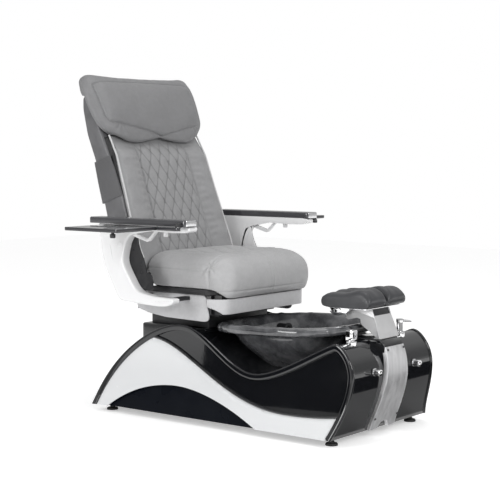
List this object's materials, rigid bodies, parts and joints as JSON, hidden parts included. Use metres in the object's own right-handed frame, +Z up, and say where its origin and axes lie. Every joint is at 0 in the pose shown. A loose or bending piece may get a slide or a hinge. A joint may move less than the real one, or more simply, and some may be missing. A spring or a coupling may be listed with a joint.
{
  "type": "pedicure spa chair",
  "caption": "Pedicure spa chair: reclining padded seat with swing trays on a flared moulded base with a foot bowl, adjustable footrest and water fittings.",
  "frame": {"origin": "on the floor under the middle of the base footprint", "axes": "+Z up, the front of the chair faces -Y, the sitter's left is +X"},
  "size_m": [1.402, 1.4413, 1.44],
  "materials": {
    "black_gloss": "gloss",
    "pearl_gloss": "gloss",
    "toe_black": "gloss",
    "stainless": "satin",
    "screw_steel": "satin",
    "black_steel": "satin",
    "foot_rubber": "matt",
    "black_plastic": "satin",
    "bowl_gloss": "gloss",
    "chrome": "polished",
    "brass": "plain",
    "pad_leather": "satin",
    "grey_leather": "satin",
    "skirt_grey": "satin",
    "sleeve_grey": "satin",
    "shell_grey": "satin",
    "white_gloss": "gloss",
    "board_grey": "gloss",
    "tray_dark": "gloss"
  },
  "bodies": {
    "base": {"base_shell": "black_gloss", "side_rim_right": "black_gloss", "side_rim_left": "black_gloss", "side_panel_right": "pearl_gloss", "side_panel_left": "pearl_gloss", "toe_kick_right": "toe_black", "toe_kick_left": "toe_black", "front_panel": "stainless", "front_panel_screws": "screw_steel", "base_frame": "black_steel", "seat_pedestal": "black_plastic", "slide_rails": "black_steel", "bowl": "bowl_gloss", "drain_body": "chrome", "jet_pump": "black_plastic", "jet_cover": "black_plastic", "mixer_body": "chrome", "diverter_body": "chrome", "front_valves": "brass", "supply_tails": "brass", "footrest_bracket": "stainless"},
    "foot_fr": {"levelling_foot_front_right": "foot_rubber"},
    "foot_fl": {"levelling_foot_front_left": "foot_rubber"},
    "foot_rr": {"levelling_foot_rear_right": "foot_rubber"},
    "foot_rl": {"levelling_foot_rear_left": "foot_rubber"},
    "drain_stopper": {"drain_stopper": "chrome"},
    "jet_impeller": {"jet_impeller": "black_plastic"},
    "mixer_lever": {"mixer_lever": "chrome"},
    "diverter_knob": {"diverter_knob": "chrome"},
    "front_knob_right": {"front_knob_right": "chrome"},
    "front_knob_left": {"front_knob_left": "chrome"},
    "footrest_slider": {"footrest_slider": "black_plastic"},
    "foot_pads": {"pad_bracket": "chrome", "foot_pad_right": "pad_leather", "foot_pad_left": "pad_leather"},
    "seat": {"seat_frame": "black_steel", "seat_pan": "black_plastic", "seat_cushion": "grey_leather", "front_skirt": "skirt_grey", "side_skirt_right": "skirt_grey", "side_skirt_left": "skirt_grey", "arm_right": "white_gloss", "arm_left": "white_gloss", "arm_board_right": "board_grey", "arm_board_left": "board_grey", "arm_strut_right": "white_gloss", "arm_strut_left": "white_gloss", "recline_actuator": "black_steel"},
    "tray_right": {"tray_right": "tray_dark"},
    "tray_left": {"tray_left": "tray_dark"},
    "board_clamp_right": {"board_clamp_right": "black_plastic"},
    "board_clamp_left": {"board_clamp_left": "black_plastic"},
    "recline_rod": {"recline_rod": "chrome"},
    "back": {"back_frame": "black_steel", "back_shell": "shell_grey", "back_cushion": "grey_leather", "head_pillow": "grey_leather", "back_sleeve": "sleeve_grey"},
    "massage_carriage": {"massage_carriage": "black_steel"},
    "massage_rollers": {"massage_rollers": "chrome"}
  },
  "joints": [
    {"name": "foot_fr_turn", "type": "hinge", "parent": "base", "child": "foot_fr", "pos_m": [-0.285, -0.584, 0.02], "axis": [0, 0, 1], "range_deg": [-180, 180]},
    {"name": "foot_fl_turn", "type": "hinge", "parent": "base", "child": "foot_fl", "pos_m": [0.285, -0.584, 0.02], "axis": [0, 0, 1], "range_deg": [-180, 180]},
    {"name": "foot_rr_turn", "type": "hinge", "parent": "base", "child": "foot_rr", "pos_m": [-0.285, 0.561, 0.02], "axis": [0, 0, 1], "range_deg": [-180, 180]},
    {"name": "foot_rl_turn", "type": "hinge", "parent": "base", "child": "foot_rl", "pos_m": [0.285, 0.561, 0.02], "axis": [0, 0, 1], "range_deg": [-180, 180]},
    {"name": "drain_stopper_lift", "type": "slide", "parent": "base", "child": "drain_stopper", "axis": [0, 0, 1], "range_m": [0, 0.012]},
    {"name": "jet_impeller_spin", "type": "hinge", "parent": "base", "child": "jet_impeller", "pos_m": [0.15, -0.04, 0.35], "axis": [0, 1, 0], "continuous": true},
    {"name": "mixer_lever_turn", "type": "hinge", "parent": "base", "child": "mixer_lever", "pos_m": [0.158, -0.61, 0.43], "axis": [0, 0, 1], "range_deg": [-45, 45]},
    {"name": "diverter_knob_turn", "type": "hinge", "parent": "base", "child": "diverter_knob", "pos_m": [-0.186, -0.606, 0.41], "axis": [0, 0, 1], "range_deg": [0, 90]},
    {"name": "front_knob_right_turn", "type": "hinge", "parent": "base", "child": "front_knob_right", "pos_m": [-0.145, -0.7, 0.271], "axis": [0, 1, 0], "range_deg": [0, 90]},
    {"name": "front_knob_left_turn", "type": "hinge", "parent": "base", "child": "front_knob_left", "pos_m": [0.145, -0.7, 0.271], "axis": [0, 1, 0], "range_deg": [0, 90]},
    {"name": "footrest_height", "type": "slide", "parent": "base", "child": "footrest_slider", "axis": [0, 0.3518, 0.9361], "range_m": [0, 0.06]},
    {"name": "footrest_tilt", "type": "hinge", "parent": "footrest_slider", "child": "foot_pads", "pos_m": [0, -0.47, 0.486], "axis": [-1, 0, 0], "range_deg": [0, 30]},
    {"name": "seat_slide", "type": "slide", "parent": "base", "child": "seat", "axis": [0, -1, 0], "range_m": [-0.05, 0.08]},
    {"name": "tray_right_swing", "type": "hinge", "parent": "seat", "child": "tray_right", "pos_m": [-0.464, 0.028, 0.81], "axis": [0, 0, 1], "range_deg": [0, 170]},
    {"name": "tray_left_swing", "type": "hinge", "parent": "seat", "child": "tray_left", "pos_m": [0.464, 0.028, 0.81], "axis": [0, 0, -1], "range_deg": [0, 170]},
    {"name": "board_clamp_right_turn", "type": "hinge", "parent": "seat", "child": "board_clamp_right", "pos_m": [-0.404, 0.144, 0.78], "axis": [0, 0, 1], "range_deg": [-180, 180]},
    {"name": "board_clamp_left_turn", "type": "hinge", "parent": "seat", "child": "board_clamp_left", "pos_m": [0.404, 0.144, 0.78], "axis": [0, 0, 1], "range_deg": [-180, 180]},
    {"name": "recline", "type": "hinge", "parent": "seat", "child": "back", "pos_m": [0, 0.4, 0.56], "axis": [-1, 0, 0], "range_deg": [0, 35]},
    {"name": "recline_rod_stroke", "type": "slide", "parent": "seat", "child": "recline_rod", "axis": [0, -1, 0], "range_m": [0, 0.056]},
    {"name": "massage_travel", "type": "slide", "parent": "back", "child": "massage_carriage", "axis": [0, 0.3289, 0.9444], "range_m": [-0.18, 0.2]},
    {"name": "massage_roller_spin", "type": "hinge", "parent": "massage_carriage", "child": "massage_rollers", "pos_m": [0, 0.52381, 0.90338], "axis": [1, 0, 0], "continuous": true}
  ],
  "couplings": [
    {"joint": "recline_rod_stroke", "follows": "recline", "m_per_rad": 0.09084}
  ]
}
